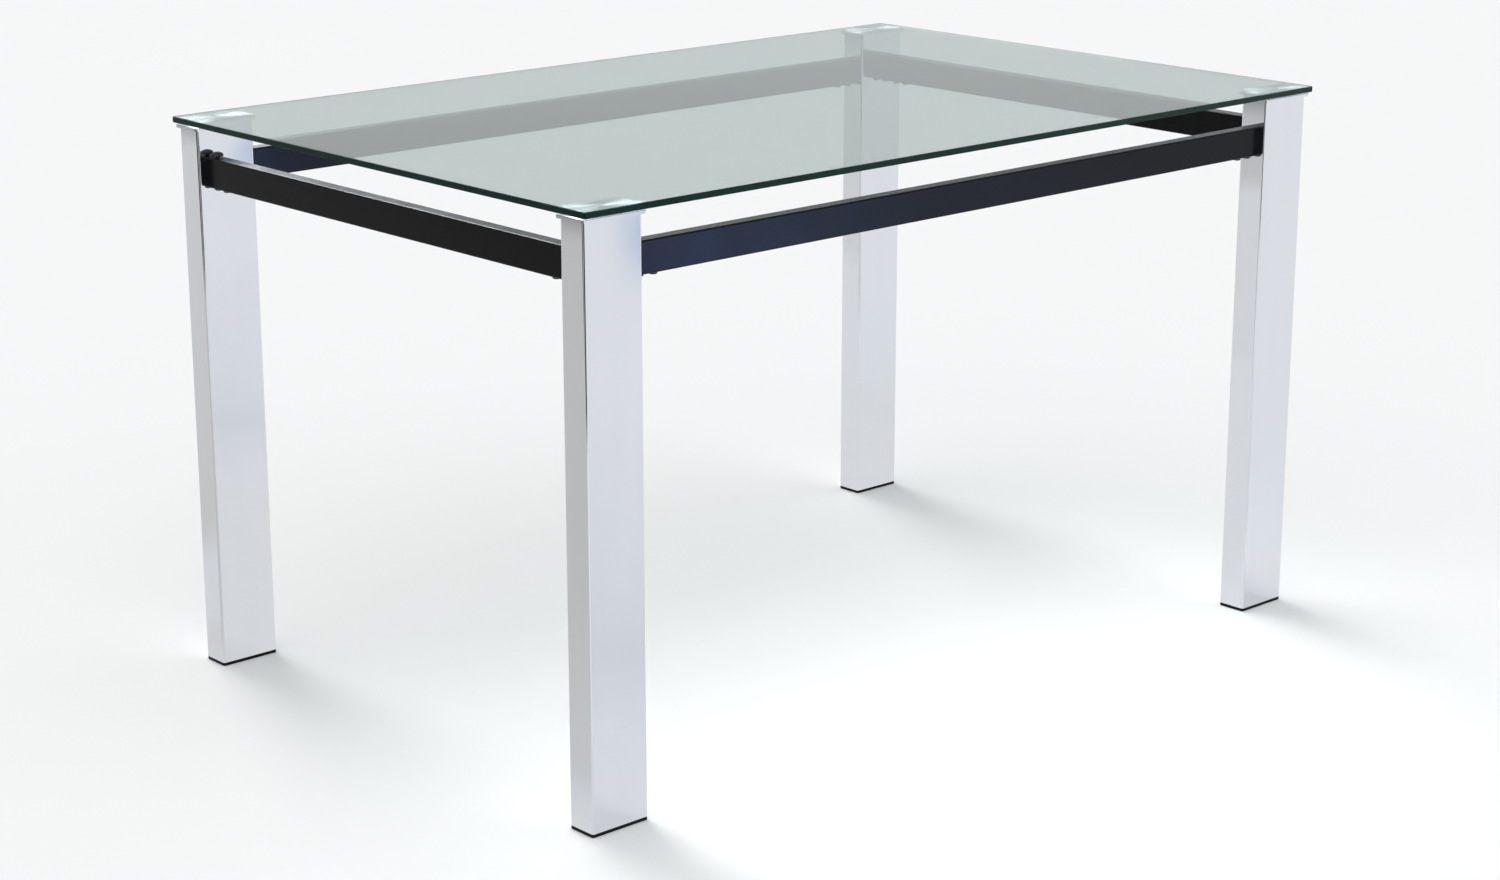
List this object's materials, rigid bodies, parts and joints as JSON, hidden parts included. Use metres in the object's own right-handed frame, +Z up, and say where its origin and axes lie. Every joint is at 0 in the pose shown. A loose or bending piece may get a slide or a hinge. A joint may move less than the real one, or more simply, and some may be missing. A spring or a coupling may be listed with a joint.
{
  "type": "dining table",
  "caption": "Rectangular dining table: a clear glass pane lying on chromed rectangular tube legs, tied below the glass by black tube rails bolted from below.",
  "frame": {"origin": "on the floor, under the middle of the pane", "axes": "+X along the long side, +Y from the front to the back, +Z up"},
  "size_m": [1.3, 0.85, 0.75],
  "materials": {
    "clear_glass": "clear toughened glass with a polished dark green edge",
    "chrome": "mirror chrome",
    "black_paint": "smooth black paint, half gloss",
    "black_plastic": "moulded black plastic",
    "clear_pad": "clear soft pad",
    "black_steel": "blackened steel",
    "plated_steel": "zinc-plated steel"
  },
  "bodies": {
    "frame": {"bracket_screws_back_left": "plated_steel", "bracket_screws_back_right": "plated_steel", "bracket_screws_front_left": "plated_steel", "bracket_screws_front_right": "plated_steel", "domed_nut": "black_steel", "foot_cap_back_left": "black_plastic", "foot_cap_back_right": "black_plastic", "foot_cap_front_left": "black_plastic", "foot_cap_front_right": "black_plastic", "glass_pad_back_left": "clear_pad", "glass_pad_back_right": "clear_pad", "glass_pad_front_left": "clear_pad", "glass_pad_front_right": "clear_pad", "leg_back_left": "chrome", "leg_back_right": "chrome", "leg_cap_back_left": "chrome", "leg_cap_back_right": "chrome", "leg_cap_front_left": "chrome", "leg_cap_front_right": "chrome", "leg_front_left": "chrome", "leg_front_right": "chrome", "long_back_bracket_left": "plated_steel", "long_back_bracket_right": "plated_steel", "long_back_nut_strips": "plated_steel", "long_back_rail": "black_paint", "long_back_rail_bolts": "black_steel", "long_front_bracket_left": "plated_steel", "long_front_bracket_right": "plated_steel", "long_front_nut_strips": "plated_steel", "long_front_rail": "black_paint", "long_front_rail_bolts": "black_steel", "rivet_nuts_back_left": "plated_steel", "rivet_nuts_back_right": "plated_steel", "rivet_nuts_front_left": "plated_steel", "rivet_nuts_front_right": "plated_steel", "short_left_bracket_back": "plated_steel", "short_left_bracket_front": "plated_steel", "short_left_nut_strips": "plated_steel", "short_left_rail": "black_paint", "short_left_rail_bolts": "black_steel", "short_right_bracket_back": "plated_steel", "short_right_bracket_front": "plated_steel", "short_right_nut_strips": "plated_steel", "short_right_rail": "black_paint", "short_right_rail_bolts": "black_steel", "through_bolt": "black_steel"},
    "pane": {"glass_top": "clear_glass"}
  },
  "joints": [
    {"name": "pane_lift", "type": "slide", "parent": "frame", "child": "pane", "axis": [0, 0, 1], "range_m": [0, 0.1]}
  ]
}
